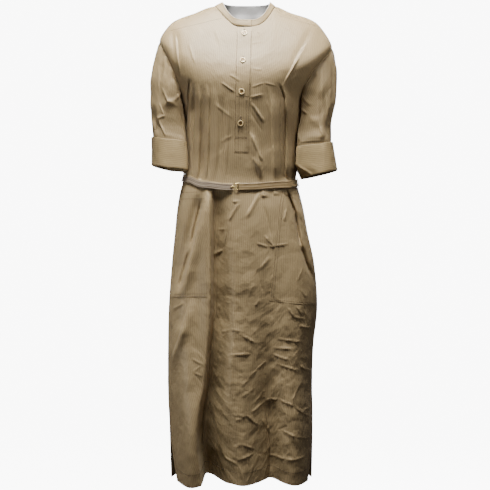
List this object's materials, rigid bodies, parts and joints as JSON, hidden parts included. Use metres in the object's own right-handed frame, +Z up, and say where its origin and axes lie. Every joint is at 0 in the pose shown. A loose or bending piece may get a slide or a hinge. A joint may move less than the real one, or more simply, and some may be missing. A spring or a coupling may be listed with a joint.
{
  "type": "shirt dress",
  "caption": "Pinstriped poplin shirt dress with a collar band, half placket, turned-up elbow cuffs, thin belt, patch pockets and side slits, in its worn hollow form.",
  "frame": {"origin": "between the wearer's shoulders at the height of the sides of the neck, where the dress is held", "axes": "+Z up, -Y is the front of the dress, +X is the viewer's right when facing the front"},
  "size_m": [0.474, 0.274, 1.2181],
  "materials": {
    "poplin": "khaki cotton poplin with a fine darker pinstripe and a slight sheen",
    "pale_cotton": "pale grey plain cotton, matt",
    "button_shell": "ivory shell-like button with a raised rim",
    "clasp_metal": "small pale gold metal hook clasp"
  },
  "bodies": {
    "root": {"front_panel": "poplin", "back_panel": "poplin", "sleeve_left": "poplin", "sleeve_right": "poplin", "cuff_left": "poplin", "cuff_right": "poplin", "collar_band": "poplin", "collar_inner": "pale_cotton", "placket": "poplin", "pocket_left": "poplin", "pocket_right": "poplin", "belt_reverse": "pale_cotton", "belt_face": "poplin", "belt_loop_left": "poplin", "belt_loop_right": "poplin", "belt_clasp": "clasp_metal", "button_1": "button_shell", "button_2": "button_shell", "button_3": "button_shell", "button_4": "button_shell"}
  },
  "joints": []
}
